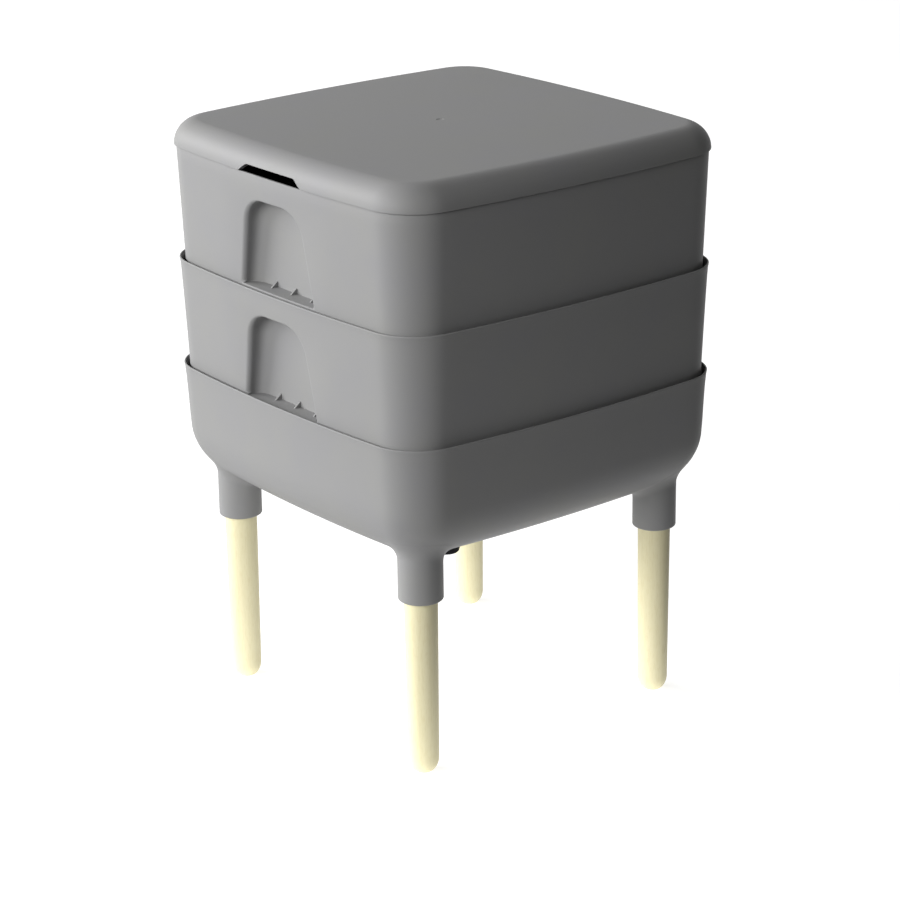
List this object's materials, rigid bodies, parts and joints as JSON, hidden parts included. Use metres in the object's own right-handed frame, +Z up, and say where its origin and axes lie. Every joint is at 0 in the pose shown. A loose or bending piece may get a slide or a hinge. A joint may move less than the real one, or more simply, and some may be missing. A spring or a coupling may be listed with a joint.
{
  "type": "wormery",
  "caption": "Square stacking wormery with a domed lid, trays with moulded hand pockets, a collector bowl with a drain tap and turned wooden legs.",
  "frame": {"origin": "middle of the ground plane under the legs", "axes": "+Z up, hand pockets face along X, the tap handle points along -Y"},
  "size_m": [0.3776, 0.3782, 0.5431],
  "materials": {
    "grey_plastic": "fine matte moulded",
    "turned_wood": "clear oiled",
    "black_plastic": "moulded",
    "seal_rubber": "matte",
    "plated_steel": "bright zinc"
  },
  "bodies": {
    "base": {"collector_bowl": "grey_plastic", "leg_front_left": "turned_wood", "leg_front_right": "turned_wood", "leg_back_left": "turned_wood", "leg_back_right": "turned_wood", "tap_body": "black_plastic", "tap_nut": "black_plastic", "tap_outer_seal": "seal_rubber", "tap_inner_seal": "seal_rubber"},
    "lower_tray": {"lower_tray": "grey_plastic"},
    "upper_tray": {"upper_tray": "grey_plastic"},
    "lid": {"lid": "grey_plastic"},
    "tap_plug": {"tap_plug": "black_plastic", "tap_plug_o_rings": "seal_rubber", "tap_plug_washer": "plated_steel", "tap_plug_screw": "plated_steel"}
  },
  "joints": [
    {"name": "lower_tray_lift", "type": "slide", "parent": "base", "child": "lower_tray", "axis": [0, 0, 1], "range_m": [0, 0.06]},
    {"name": "upper_tray_lift", "type": "slide", "parent": "lower_tray", "child": "upper_tray", "axis": [0, 0, 1], "range_m": [0, 0.06]},
    {"name": "lid_lift", "type": "slide", "parent": "upper_tray", "child": "lid", "axis": [0, 0, 1], "range_m": [0, 0.04]},
    {"name": "tap_turn", "type": "hinge", "parent": "base", "child": "tap_plug", "pos_m": [0, 0, 0.176], "axis": [0, 1, 0], "range_deg": [0, 90]}
  ]
}
